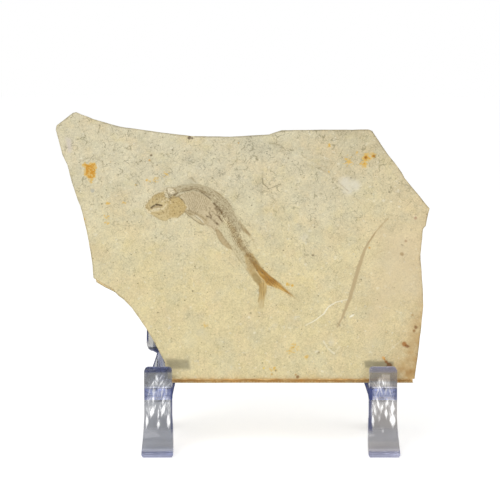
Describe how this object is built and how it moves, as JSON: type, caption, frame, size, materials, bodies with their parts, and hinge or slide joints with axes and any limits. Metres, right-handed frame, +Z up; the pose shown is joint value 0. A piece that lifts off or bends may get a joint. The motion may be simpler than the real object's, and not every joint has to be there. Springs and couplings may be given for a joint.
{
  "type": "fossil fish slab on display stand",
  "caption": "Broken limestone slab with a curved fossil fish on its face, leaning in a clear moulded easel.",
  "frame": {"origin": "on the table, under the middle of the bounding box", "axes": "+X to the right along the slab, -Y out of the slab's fish side, +Z up"},
  "size_m": [0.1516, 0.062, 0.1309],
  "materials": {
    "limestone": "matte, fine grained, with ochre and brown stains",
    "clear_plastic": "clear, glossy, faintly blue at the edges"
  },
  "bodies": {
    "root": {"slab": "limestone", "easel_left": "clear_plastic", "easel_right": "clear_plastic"}
  },
  "joints": []
}
